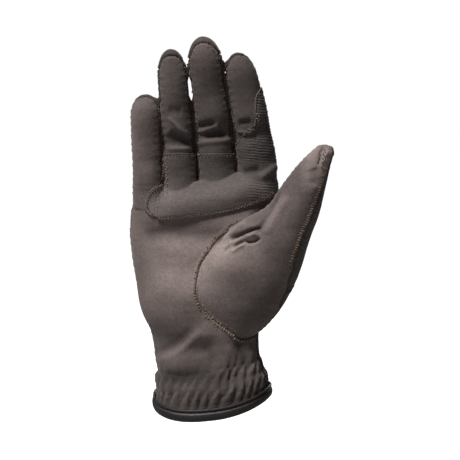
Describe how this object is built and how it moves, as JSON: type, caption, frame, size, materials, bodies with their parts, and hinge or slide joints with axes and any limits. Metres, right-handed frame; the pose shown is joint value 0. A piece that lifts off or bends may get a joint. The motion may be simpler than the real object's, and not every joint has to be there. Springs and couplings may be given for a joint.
{
  "type": "riding glove",
  "caption": "Right-hand riding glove of thin suede, filled as if worn, with a gathered cuff, a leather-bound hem, a set-in thumb and a ribbed rein patch across the palm.",
  "frame": {"origin": "middle of the hand opening, level with the hem at its two sides", "axes": "+Z from the cuff to the fingertips, -Y the way the palm faces, +X towards the thumb"},
  "size_m": [0.1238, 0.0696, 0.2353],
  "materials": {
    "palm_suede": "warm taupe-brown synthetic suede, matt with a soft sheen",
    "stretch_cloth": "matt dark brown stretch cloth",
    "ribbed_suede": "taupe-brown suede with fine cross ribs",
    "binding_leather": "smooth dark brown leather, half matt"
  },
  "bodies": {
    "root": {"palm_panel": "palm_suede", "back_panel": "stretch_cloth", "thumb_front": "palm_suede", "thumb_back": "stretch_cloth", "strip_little_ring": "stretch_cloth", "strip_ring_middle": "stretch_cloth", "strip_middle_index": "stretch_cloth", "rein_patch": "ribbed_suede", "cuff_binding": "binding_leather"}
  },
  "joints": []
}
